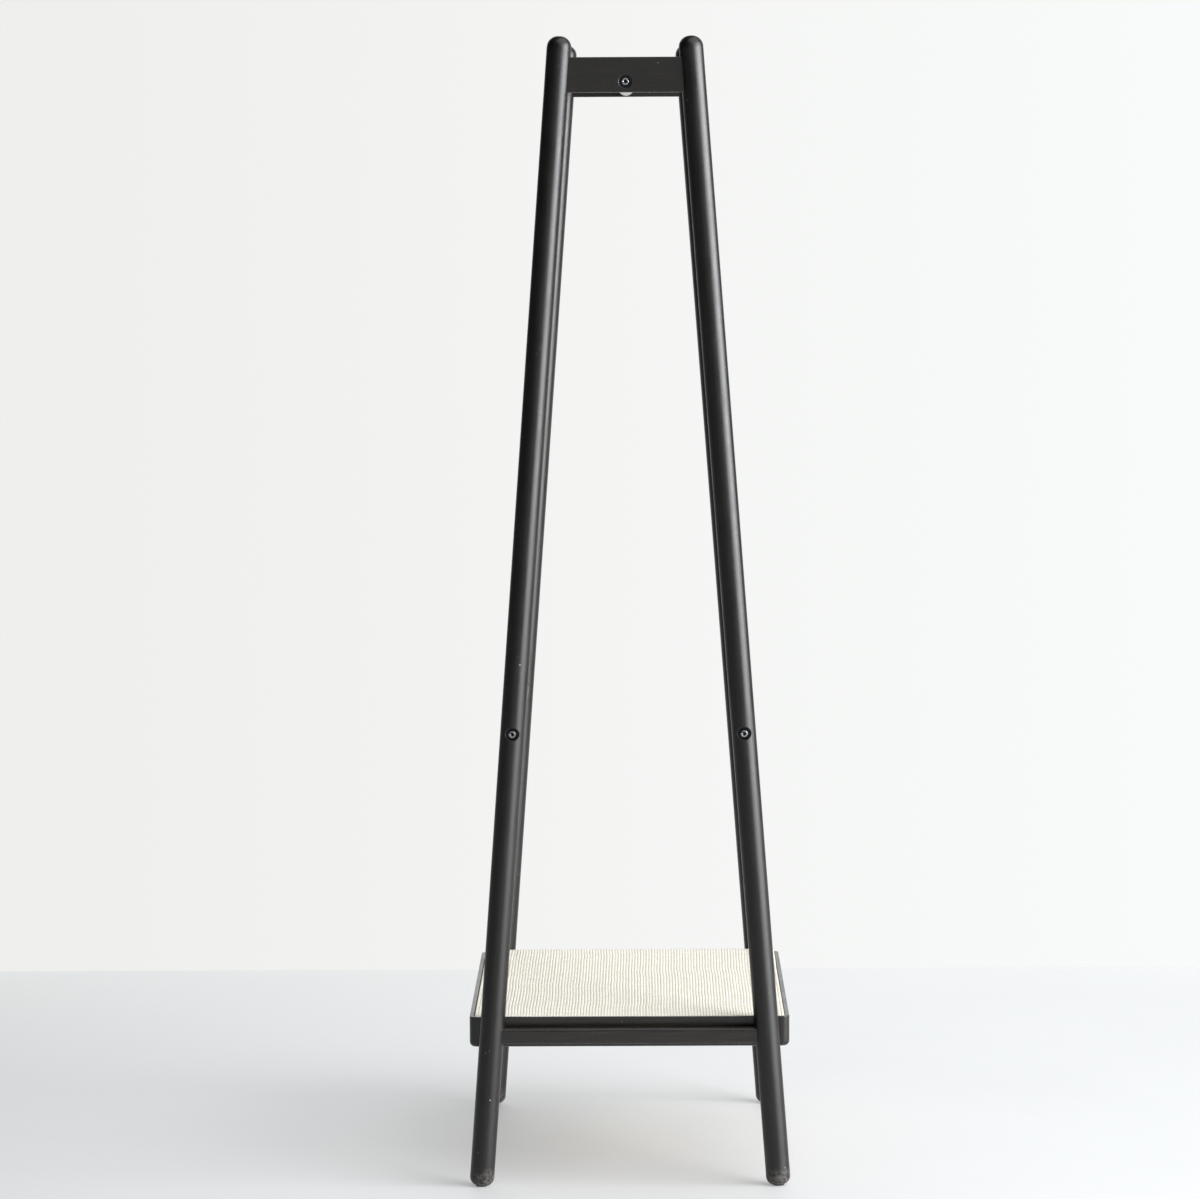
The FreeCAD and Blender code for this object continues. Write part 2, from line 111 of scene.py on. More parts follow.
def linear(hex_colour: str) -> Colour:
    """Turns an sRGB colour into the linear one that a shader takes.

    Args:
        hex_colour: The colour as "#rrggbb".

    Returns:
        Red, green and blue from 0 to 1, and an alpha of 1.
    """
    srgb = np.array([int(hex_colour[i : i + 2], 16) for i in (1, 3, 5)]) / 255
    low, high = srgb / 12.92, ((srgb + 0.055) / 1.055) ** 2.4
    red, green, blue = np.where(srgb <= 0.04045, low, high)
    return float(red), float(green), float(blue), 1.0


def add_node(
    tree: Tree,
    kind: str,
    inputs: Mapping[str | int, Any] | None = None,
    **settings: Any,
) -> bpy.types.Node:
    """Adds one node with its settings, values and links.

    Args:
        tree: The node tree that takes it.
        kind: Blender's type name, without "ShaderNode".
        inputs: Value or output socket for each input, by the input's name or number.
        settings: The node's own properties.

    Returns:
        The node.
    """
    node = tree.nodes.new("ShaderNode" + kind)
    for key, value in settings.items():
        setattr(node, key, value)
    for key, value in (inputs or {}).items():
        if isinstance(value, Socket):
            tree.links.new(value, node.inputs[key])
        else:
            node.inputs[key].default_value = value
    return node


def one_sided(tree: Tree, shader: Socket) -> Socket:
    """Makes a surface of the studio clear from behind, so the rack shows from every side.

    Args:
        tree: The material's nodes.
        shader: What its front looks like.

    Returns:
        The shader to put out.
    """
    behind = add_node(tree, "NewGeometry").outputs["Backfacing"]
    clear = add_node(tree, "BsdfTransparent").outputs["BSDF"]
    return add_node(tree, "MixShader", {0: behind, 1: shader, 2: clear}).outputs[0]


def mesh_piece(
    name: str,
    points: Array,
    faces: Sequence[Sequence[int]],
    material: bpy.types.Material,
    smooth: bool = True,
) -> bpy.types.Object:
    """Makes an object at the origin from points in the rack's frame.

    Args:
        name: The object's name.
        points: One row of X, Y, Z in metres for each vertex.
        faces: Vertex numbers of each face, anticlockwise from outside.
        material: Its finish.
        smooth: Whether its faces are shaded smooth.

    Returns:
        The object, linked into the scene.
    """
    mesh = bpy.data.meshes.new(name)
    mesh.from_pydata(points.tolist(), [], [list(map(int, face)) for face in faces])
    mesh.polygons.foreach_set("use_smooth", np.full(len(mesh.polygons), smooth))
    mesh.materials.append(material)
    mesh.update()
    piece = bpy.data.objects.new(name, mesh)
    bpy.context.scene.collection.objects.link(piece)
    return piece


def grid_faces(rows: int, columns: int, wraps: bool = False) -> Array:
    """Quads of a grid whose vertices are numbered row by row.

    Args:
        rows: Rows of vertices.
        columns: Vertices in a row.
        wraps: Whether the last column joins the first.

    Returns:
        Four vertex numbers for each quad, facing +Z where rows go along +Y and columns along +X.
    """
    across = np.arange(columns if wraps else columns - 1)
    along = np.arange(rows - 1)[:, None] * columns
    right = (across + 1) % columns
    quads = np.stack(
        [along + across, along + right, along + columns + right, along + columns + across], axis=-1
    )
    return quads.reshape(-1, 4)


def lathe_faces(rings: int, sides: int) -> list[list[int]]:
    """Faces of a closed turned shape: quads between its rings, and a fan at each pole.

    Args:
        rings: Rings of vertices, not counting the two poles.
        sides: Vertices in a ring.

    Returns:
        Faces of vertex numbers, where the poles are the last two vertices.
    """
    first, last = rings * sides, rings * sides + 1
    around = np.arange(sides)
    after = (around + 1) % sides
    top = (rings - 1) * sides
    quads = grid_faces(rings, sides, wraps=True)
    start = np.stack([np.full(sides, first), after, around], axis=-1)
    end = np.stack([np.full(sides, last), top + around, top + after], axis=-1)
    return [*quads.tolist(), *start.tolist(), *end.tolist()]


def turned_points(radii: Array, heights: Array, outward: Vector, seat: Vector) -> Array:
    """Points of a turned shape: each ring's radius at each angle, carried along an axis.

    Args:
        radii: A row of radii for each ring, in metres, one for each angle.
        heights: Each ring's distance along the axis, in metres; the poles take the first and last.
        outward: The axis's direction.
        seat: The point on the axis where heights are zero.

    Returns:
        One row of X, Y, Z for each vertex, ring by ring, and then the two poles.
    """
    sides = radii.shape[1]
    angle = np.arange(sides) * (2 * math.pi / sides)
    axis = np.array(outward.normalized())
    up = np.array([0.0, 0.0, 1.0]) if abs(axis[2]) < 0.5 else np.array([0.0, 1.0, 0.0])
    side = np.cross(up, axis)
    spoke = np.cos(angle)[:, None] * side + np.sin(angle)[:, None] * np.cross(axis, side)
    rings = radii[:, :, None] * spoke[None] + heights[:, None, None] * axis
    poles = heights[[0, -1], None] * axis
    return np.vstack([rings.reshape(-1, 3), poles]) + np.array(seat)


def dress(nodes: Nodes, names: Sequence[str], finish: Finish) -> None:
    """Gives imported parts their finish, and says so in the log.

    Args:
        nodes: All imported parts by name.
        names: The parts to dress.
        finish: The finish, made once and shared.
    """
    material = finish.make()
    for name in names:
        for slot in nodes[name].material_slots:
            slot.material = material
        log.info("dressed %s in %s", name, material.name)


def place(piece: bpy.types.Object, slot: Slot, *stands_for: str) -> bpy.types.Object:
    """Fixes a new piece to the rack.

    Args:
        piece: The new piece.
        slot: The material slot it takes its finish from.
        stands_for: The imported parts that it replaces.

    Returns:
        The same piece.
    """
    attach(piece, "root")
    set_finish(piece, slot.value)
    if stands_for:
        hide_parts(*stands_for)
    log.info("built %s, %d faces", piece.name, len(piece.data.polygons))
    return piece


# Finishes


@dataclass(frozen=True)
class Finish:
    """What every finish shares: a name, and a node material made from its surface.

    Attributes:
        name: The material's name.
    """

    name: str

    def surface(self, tree: Tree, place_at: Socket) -> Socket:
        """Builds the finish's own nodes.

        Args:
            tree: The material's nodes.
            place_at: Each point's place.

        Returns:
            The finished shader.
        """
        raise NotImplementedError

    def make(self) -> bpy.types.Material:
        """Makes the node material.

        Returns:
            The material.
        """
        material = bpy.data.materials.new(self.name)
        material.use_nodes = True
        tree = material.node_tree
        tree.nodes.clear()
        place_at = add_node(tree, "TexCoord").outputs["Object"]
        add_node(tree, "OutputMaterial", {"Surface": self.surface(tree, place_at)})
        return material


@dataclass(frozen=True)
class BlackLacquer(Finish):
    """Satin black lacquer sprayed on stained beech, turned or planed.

    The eye gets a near black with a soft, wide highlight, faint brown streaks where the stain shows
    through, a trace of pores, a slight orange peel, handling marks that dull it, and a few pale chips.

    Attributes:
        turn: The turn in degrees that lays the grain along Z.
        roughness: The satin's mean roughness.
        dusty: Whether it picks up dust near the floor.
        stain: Colour of the black, and streak where the stained wood shows through.
        dust: Colour of the dust, and dust_height how far up it reaches.
        chip: Colour of bare wood in a chip, and chip_size the spacing of possible chips.
        index: Refractive index of the lacquer.
        streak_width: Spacing of the streaks across the grain, and streak_length along it.
        peel_size: Spacing of the orange peel.
        mark_size: Spacing of the handling marks.
    """

    turn: Triple = (0.0, 0.0, 0.0)
    roughness: float = 0.36
    dusty: bool = False
    stain: str = "#151412"
    streak: str = "#2a231c"
    dust: str = "#77736b"
    dust_height: float = 30 * MM
    chip: str = "#b9b4a8"
    index: float = 1.5
    streak_width: float = 2.2 * MM  # real pores are 0.1 mm wide, too fine to show
    streak_length: float = 70 * MM
    peel_size: float = 5 * MM
    mark_size: float = 45 * MM
    chip_size: float = 5 * MM

    def surface(self, tree: Tree, place_at: Socket) -> Socket:
        """Lays the stain, chips and dust over one another, under a satin skin with pores.

        Args:
            tree: The material's nodes.
            place_at: Each point's place.

        Returns:
            The finished shader.
        """
        squeeze = self.streak_width / self.streak_length
        turned = add_node(
            tree, "Mapping", {"Vector": place_at, "Rotation": [math.radians(a) for a in self.turn]}
        ).outputs["Vector"]
        along = add_node(
            tree, "Mapping", {"Vector": turned, "Scale": (1.0, 1.0, squeeze)}
        ).outputs["Vector"]
        streaks = add_node(
            tree, "TexNoise",
            {"Vector": along, "Scale": 1 / self.streak_width, "Detail": 3.0, "Roughness": 0.6},
        ).outputs["Fac"]
        peel = add_node(
            tree, "TexNoise", {"Vector": place_at, "Scale": 1 / self.peel_size, "Detail": 1.0}
        ).outputs["Fac"]
        marks = add_node(
            tree, "TexNoise",
            {"Vector": place_at, "Scale": 1 / self.mark_size, "Detail": 4.0, "Roughness": 0.65},
        ).outputs["Fac"]
        shows = add_node(
            tree, "MapRange",
            {"Value": streaks, "From Min": 0.45, "From Max": 0.72, "To Min": 0.0, "To Max": 0.75},
        ).outputs["Result"]
        colour = add_node(
            tree, "Mix", {0: shows, 6: linear(self.stain), 7: linear(self.streak)}, data_type="RGBA"
        ).outputs[2]
        satin = add_node(
            tree, "MapRange",
            {"Value": marks, "From Min": 0.3, "From Max": 0.7,
             "To Min": self.roughness - 0.05, "To Max": self.roughness + 0.07},
        ).outputs["Result"]
        specks = add_node(
            tree, "TexNoise",
            {"Vector": place_at, "Scale": 1 / self.chip_size, "Detail": 2.0, "Roughness": 0.5},
        ).outputs["Fac"]
        chipped = add_node(
            tree, "MapRange",
            {"Value": specks, "From Min": 0.775, "From Max": 0.80, "To Min": 0.0, "To Max": 0.9},
        ).outputs["Result"]
        colour = add_node(
            tree, "Mix", {0: chipped, 6: colour, 7: linear(self.chip)}, data_type="RGBA"
        ).outputs[2]
        if self.dusty:
            height = add_node(tree, "SeparateXYZ", {"Vector": place_at}).outputs["Z"]
            low = add_node(
                tree, "MapRange",
                {"Value": height, "From Min": 0.0, "From Max": self.dust_height,
                 "To Min": 1.0, "To Max": 0.0},
            ).outputs["Result"]
            patchy = add_node(
                tree, "MapRange",
                {"Value": specks, "From Min": 0.42, "From Max": 0.66, "To Min": 0.05, "To Max": 0.75},
            ).outputs["Result"]
            settled = add_node(tree, "Math", {0: low, 1: patchy}, operation="MULTIPLY").outputs["Value"]
            colour = add_node(
                tree, "Mix", {0: settled, 6: colour, 7: linear(self.dust)}, data_type="RGBA"
            ).outputs[2]
            satin = add_node(
                tree, "Math", {0: satin, 1: settled}, operation="ADD", use_clamp=True
            ).outputs["Value"]
        pores = add_node(
            tree, "Bump", {"Height": streaks, "Strength": 0.35, "Distance": 0.12 * MM}
        ).outputs["Normal"]
        skin = add_node(
            tree, "Bump", {"Height": peel, "Normal": pores, "Strength": 0.3, "Distance": 0.08 * MM}
        ).outputs["Normal"]
        return add_node(
            tree, "BsdfPrincipled",
            {"Base Color": colour, "Roughness": satin, "IOR": self.index, "Normal": skin},
        ).outputs["BSDF"]


@dataclass(frozen=True)
class BareWood(Finish):
    """Bare beech or birch, planed and unfinished.

    The eye gets a dry, pale wood with growth bands, and the short dark flecks of its rays.

    Attributes:
        turn: The turn in degrees that lays the grain along Z.
        pale: Colour of the early wood.
        deep: Colour of the late wood.
        fleck: Colour of the rays.
        roughness: Its mean roughness.
        band_width: Spacing of the growth bands.
        fleck_width: Spacing of the rays.
    """

    turn: Triple
    pale: str
    deep: str
    fleck: str
    roughness: float = 0.62
    band_width: float = 14 * MM
    fleck_width: float = 1.2 * MM  # real rays are half as wide, too fine to show

    def surface(self, tree: Tree, place_at: Socket) -> Socket:
        """Lays rays over growth bands.

        Args:
            tree: The material's nodes.
            place_at: Each point's place.

        Returns:
            The finished shader.
        """
        turned = add_node(
            tree, "Mapping", {"Vector": place_at, "Rotation": [math.radians(a) for a in self.turn]}
        ).outputs["Vector"]
        long_way = add_node(
            tree, "Mapping", {"Vector": turned, "Scale": (1.0, 1.0, 0.06)}
        ).outputs["Vector"]
        bands = add_node(
            tree, "TexNoise",
            {"Vector": long_way, "Scale": 1 / self.band_width, "Detail": 4.0, "Distortion": 0.6},
        ).outputs["Fac"]
        short_way = add_node(
            tree, "Mapping", {"Vector": turned, "Scale": (1.0, 1.0, 0.2)}
        ).outputs["Vector"]
        rays = add_node(
            tree, "TexNoise", {"Vector": short_way, "Scale": 1 / self.fleck_width, "Detail": 1.0}
        ).outputs["Fac"]
        banded = add_node(
            tree, "MapRange", {"Value": bands, "From Min": 0.35, "From Max": 0.65}
        ).outputs["Result"]
        colour = add_node(
            tree, "Mix", {0: banded, 6: linear(self.pale), 7: linear(self.deep)}, data_type="RGBA"
        ).outputs[2]
        flecked = add_node(
            tree, "MapRange",
            {"Value": rays, "From Min": 0.6, "From Max": 0.75, "To Min": 0.0, "To Max": 0.5},
        ).outputs["Result"]
        colour = add_node(
            tree, "Mix", {0: flecked, 6: colour, 7: linear(self.fleck)}, data_type="RGBA"
        ).outputs[2]
        dry = add_node(
            tree, "MapRange",
            {"Value": bands, "To Min": self.roughness - 0.06, "To Max": self.roughness + 0.1},
        ).outputs["Result"]
        raised = add_node(
            tree, "Bump", {"Height": rays, "Strength": 0.4, "Distance": 0.1 * MM}
        ).outputs["Normal"]
        return add_node(
            tree, "BsdfPrincipled", {"Base Color": colour, "Roughness": dry, "Normal": raised}
        ).outputs["BSDF"]


@dataclass(frozen=True)
class WorkedMetal(Finish):
    """A small turned or pressed metal part.

    The eye gets a hard, bright or dark reflection, softened by fine machining and a little tarnish.

    Attributes:
        clean: Colour of the metal where it is clean.
        tarnished: Colour where it is dull.
        roughness: Its mean roughness.
        tarnish_size: Spacing of the tarnished patches.
        tool_mark: Spacing of the tool marks.
    """

    clean: str
    tarnished: str
    roughness: float
    tarnish_size: float = 3 * MM
    tool_mark: float = 0.5 * MM  # coarser than real tool marks, so that they show

    def surface(self, tree: Tree, place_at: Socket) -> Socket:
        """Tarnishes the metal in patches and marks it finely.

        Args:
            tree: The material's nodes.
            place_at: Each point's place.

        Returns:
            The finished shader.
        """
        dulled = add_node(
            tree, "TexNoise", {"Vector": place_at, "Scale": 1 / self.tarnish_size, "Detail": 3.0}
        ).outputs["Fac"]
        scratched = add_node(
            tree, "TexNoise", {"Vector": place_at, "Scale": 1 / self.tool_mark, "Detail": 1.0}
        ).outputs["Fac"]
        patchy = add_node(
            tree, "MapRange", {"Value": dulled, "From Min": 0.42, "From Max": 0.7}
        ).outputs["Result"]
        colour = add_node(
            tree, "Mix", {0: patchy, 6: linear(self.clean), 7: linear(self.tarnished)}, data_type="RGBA"
        ).outputs[2]
        rough = add_node(
            tree, "MapRange",
            {"Value": dulled, "To Min": self.roughness - 0.06, "To Max": self.roughness + 0.1},
        ).outputs["Result"]
        marked = add_node(
            tree, "Bump", {"Height": scratched, "Strength": 0.25, "Distance": 0.02 * MM}
        ).outputs["Normal"]
        return add_node(
            tree, "BsdfPrincipled",
            {"Base Color": colour, "Metallic": 1.0, "Roughness": rough, "Normal": marked},
        ).outputs["BSDF"]


@dataclass(frozen=True)
class PaperCord(Finish):
    """Bleached paper cord, twisted and woven side by side over thin cross threads.

    The eye gets matt ivory ribs that differ a little from one another, beige shade painted into the gaps
    between them, which the paler cross threads break into dots, and the slanting lay of the twist on each
    rib.

    Attributes:
        ribs: How many ribs lie side by side.
        threads: How many cross threads lie one behind another.
        ivory: Colour of the palest ribs, cream of the deepest, and shade the painted shade of the gaps
            between.
        roughness: Its mean roughness.
        twist_per_thread: Turns of the cord from one cross thread to the next.
        fibre_size: Spacing of the paper's fibres.
    """

    ribs: int
    threads: int
    ivory: str = "#fdfaf0"
    cream: str = "#f5eedd"
    shade: str = "#d1c7b0"
    roughness: float = 0.78
    twist_per_thread: float = 3.0
    fibre_size: float = 1.5 * MM

    def surface(self, tree: Tree, place_at: Socket) -> Socket:
        """Tones each rib, paints shade into the gaps between the knots, and twists the cord.

        Args:
            tree: The material's nodes.
            place_at: Each point's place.

        Returns:
            The finished shader.
        """
        own = add_node(tree, "UVMap", uv_map=WovenMat.UV_NAME).outputs["UV"]
        woven = add_node(
            tree, "Mapping", {"Vector": own, "Scale": (self.ribs, self.threads, 1.0)}
        ).outputs["Vector"]
        split = add_node(tree, "SeparateXYZ", {"Vector": woven})
        across = add_node(
            tree, "Math", {0: split.outputs["X"], 1: 1.0}, operation="PINGPONG"
        ).outputs["Value"]
        gap = add_node(tree, "Math", {0: split.outputs["X"], 1: 0.5}, operation="PINGPONG").outputs["Value"]
        knot = add_node(
            tree, "Math", {0: split.outputs["Y"], 1: 0.5}, operation="PINGPONG"
        ).outputs["Value"]
        each_rib = add_node(tree, "Math", {0: split.outputs["X"]}, operation="FLOOR").outputs["Value"]
        rib_and_length = add_node(
            tree, "CombineXYZ", {"X": each_rib, "Y": split.outputs["Y"]}
        ).outputs["Vector"]
        differs = add_node(
            tree, "TexNoise", {"Vector": rib_and_length, "Scale": 0.35, "Detail": 3.0}
        ).outputs["Fac"]
        toned = add_node(
            tree, "MapRange", {"Value": differs, "From Min": 0.38, "From Max": 0.68}
        ).outputs["Result"]
        colour = add_node(
            tree, "Mix", {0: toned, 6: linear(self.ivory), 7: linear(self.cream)}, data_type="RGBA"
        ).outputs[2]
        # Painted shade: the colour darkens towards the shade colour near each gap, less where a cross
        # thread passes.
        near_gap = add_node(
            tree, "MapRange",
            {"Value": gap, "From Min": 0.05, "From Max": 0.2, "To Min": 1.0, "To Max": 0.0},
        ).outputs["Result"]
        off_knot = add_node(
            tree, "MapRange",
            {"Value": knot, "From Min": 0.05, "From Max": 0.3, "To Min": 0.25, "To Max": 0.85},
        ).outputs["Result"]
        painted_gap_shade = add_node(tree, "Math", {0: near_gap, 1: off_knot}, operation="MULTIPLY").outputs["Value"]
        colour = add_node(
            tree, "Mix", {0: painted_gap_shade, 6: colour, 7: linear(self.shade)}, data_type="RGBA"
        ).outputs[2]
        slant = add_node(tree, "Math", {0: across, 1: split.outputs["Y"]}, operation="ADD").outputs["Value"]
        twist = add_node(
            tree, "Math", {0: slant, 1: self.twist_per_thread * 2 * math.pi}, operation="MULTIPLY"
        ).outputs["Value"]
        lay = add_node(tree, "Math", {0: twist}, operation="SINE").outputs["Value"]
        fibre = add_node(
            tree, "TexNoise", {"Vector": place_at, "Scale": 1 / self.fibre_size, "Detail": 2.0}
        ).outputs["Fac"]
        rough = add_node(
            tree, "MapRange",
            {"Value": fibre, "To Min": self.roughness - 0.08, "To Max": self.roughness + 0.12},
        ).outputs["Result"]
        corded = add_node(
            tree, "Bump", {"Height": lay, "Strength": 0.3, "Distance": 0.15 * MM}
        ).outputs["Normal"]
        fibrous = add_node(
            tree, "Bump", {"Height": fibre, "Normal": corded, "Strength": 0.4, "Distance": 0.2 * MM}
        ).outputs["Normal"]
        return add_node(
            tree, "BsdfPrincipled",
            {"Base Color": colour, "Roughness": rough, "Sheen Weight": 0.15, "Normal": fibrous},
        ).outputs["BSDF"]


@dataclass(frozen=True)
class PressedFelt(Finish):
    """Black pressed wool felt. The eye gets a matt, fuzzy black that catches light at its edges.

    Attributes:
        wool: Colour of the felt, and lint of the loose fibres on it.
        fibre_size: Spacing of the fibres.
        roughness: Its greatest roughness.
    """

    wool: str = "#17171a"
    lint: str = "#4b4a4a"
    fibre_size: float = 0.6 * MM
    roughness: float = 0.95

    def surface(self, tree: Tree, place_at: Socket) -> Socket:
        """Mixes pale lint into the wool.

        Args:
            tree: The material's nodes.
            place_at: Each point's place.

        Returns:
            The finished shader.
        """
        fuzz = add_node(
            tree, "TexNoise",
            {"Vector": place_at, "Scale": 1 / self.fibre_size, "Detail": 3.0, "Roughness": 0.7},
        ).outputs["Fac"]
        shows = add_node(
            tree, "MapRange", {"Value": fuzz, "From Min": 0.5, "From Max": 0.8}
        ).outputs["Result"]
        colour = add_node(
            tree, "Mix", {0: shows, 6: linear(self.wool), 7: linear(self.lint)}, data_type="RGBA"
        ).outputs[2]
        rough = add_node(
            tree, "MapRange", {"Value": fuzz, "To Min": self.roughness - 0.15, "To Max": self.roughness}
        ).outputs["Result"]
        raised = add_node(
            tree, "Bump", {"Height": fuzz, "Strength": 0.6, "Distance": 0.2 * MM}
        ).outputs["Normal"]
        return add_node(
            tree, "BsdfPrincipled",
            {"Base Color": colour, "Roughness": rough, "Sheen Weight": 0.3, "Normal": raised},
        ).outputs["BSDF"]


@dataclass(frozen=True)
class StudioFloor(Finish):
    """Matt screed of the studio, lit a little from within.

    The eye gets an even pale tone with the faintest mottle, and soft, open shadows.

    Attributes:
        tone: Its main colour, and mottled the colour of its clouds.
        glow: Colour of its own light.
        roughness: Its roughness.
        mottle_size: Spacing of the clouds.
    """

    name: str = "pale_screed"
    tone: str = "#c4c4c2"
    mottled: str = "#bababb"
    glow: str = "#8b8e90"
    roughness: float = 0.55
    mottle_size: float = 0.6

    def surface(self, tree: Tree, place_at: Socket) -> Socket:
        """Mottles the floor and lights it from within.

        Args:
            tree: The material's nodes.
            place_at: Each point's place.

        Returns:
            The finished shader.
        """
        cloud = add_node(
            tree, "TexNoise",
            {"Vector": place_at, "Scale": 1 / self.mottle_size, "Detail": 5.0, "Roughness": 0.6},
        ).outputs["Fac"]
        colour = add_node(
            tree, "Mix", {0: cloud, 6: linear(self.tone), 7: linear(self.mottled)}, data_type="RGBA"
        ).outputs[2]
        surface = add_node(
            tree, "BsdfPrincipled",
            {"Base Color": colour, "Roughness": self.roughness,
             "Emission Color": linear(self.glow), "Emission Strength": 1.0},
        ).outputs["BSDF"]
        return one_sided(tree, surface)


@dataclass(frozen=True)
class LightWall(Finish):
    """A white wall lit evenly from within, and clear from behind. The eye gets a plain pale ground.

    Attributes:
        left: Its tone at the left end, and right at the right end.
        half_width: How far from the middle the tones stop changing.
    """

    name: str = "light_wall"
    left: str = "#efefed"
    right: str = "#f9fbfa"
    half_width: float = 1.0

    def surface(self, tree: Tree, place_at: Socket) -> Socket:
        """Blends the wall from its left tone to its right one.

        Args:
            tree: The material's nodes.
            place_at: Each point's place.

        Returns:
            The finished shader.
        """
        across = add_node(tree, "SeparateXYZ", {"Vector": place_at}).outputs["X"]
        share = add_node(
            tree, "MapRange", {"Value": across, "From Min": -self.half_width, "From Max": self.half_width}
        ).outputs["Result"]
        colour = add_node(
            tree, "Mix", {0: share, 6: linear(self.left), 7: linear(self.right)}, data_type="RGBA"
        ).outputs[2]
        glow = add_node(tree, "Emission", {"Color": colour}).outputs["Emission"]
        return one_sided(tree, glow)


# Sub-assemblies


@dataclass
class EndFrames:
    """The two A-shaped end frames: four legs, two top boards and two stretchers.

    Attributes:
        height: From the floor to a leg's crown.
        foot_spread: From a leg's axis to the middle plane, at the floor.
        crown_spread: The same at the crown.
    """

    height: float = 1650.0 * MM
    foot_spread: float = 214.5 * MM
    crown_spread: float = 92.3 * MM

    def dress(self, nodes: Nodes) -> None:
        """Lacquers the frames, with the grain along each piece.

        Args:
            nodes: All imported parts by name.
        """
        lean = math.degrees(math.atan2(self.foot_spread - self.crown_spread, self.height))
        for side, turn in (("left", -lean), ("right", lean)):
            lacquer = BlackLacquer(
                f"lacquered_{side}_leg", (0.0, turn, 0.0), dusty=True, stain="#0b0a09", streak="#1c1712"
            )
            dress(nodes, [f"front_{side}_leg", f"rear_{side}_leg"], lacquer)
        for bar, streak in (("top_board", "#1f1b18"), ("stretcher", "#2c231b")):
            lacquer = BlackLacquer(f"lacquered_{bar}", Grain.ALONG_X.value, 0.28, streak=streak)
            dress(nodes, [f"{end}_{bar}" for end in ("front", "rear")], lacquer)
        dowels = BareWood("bare_beech_dowel", Grain.ALONG_X.value, "#d3ab7c", "#c0935f", "#8f6238")
        dress(nodes, ["front_board_dowels", "rear_board_dowels", "shelf_dowels"], dowels)


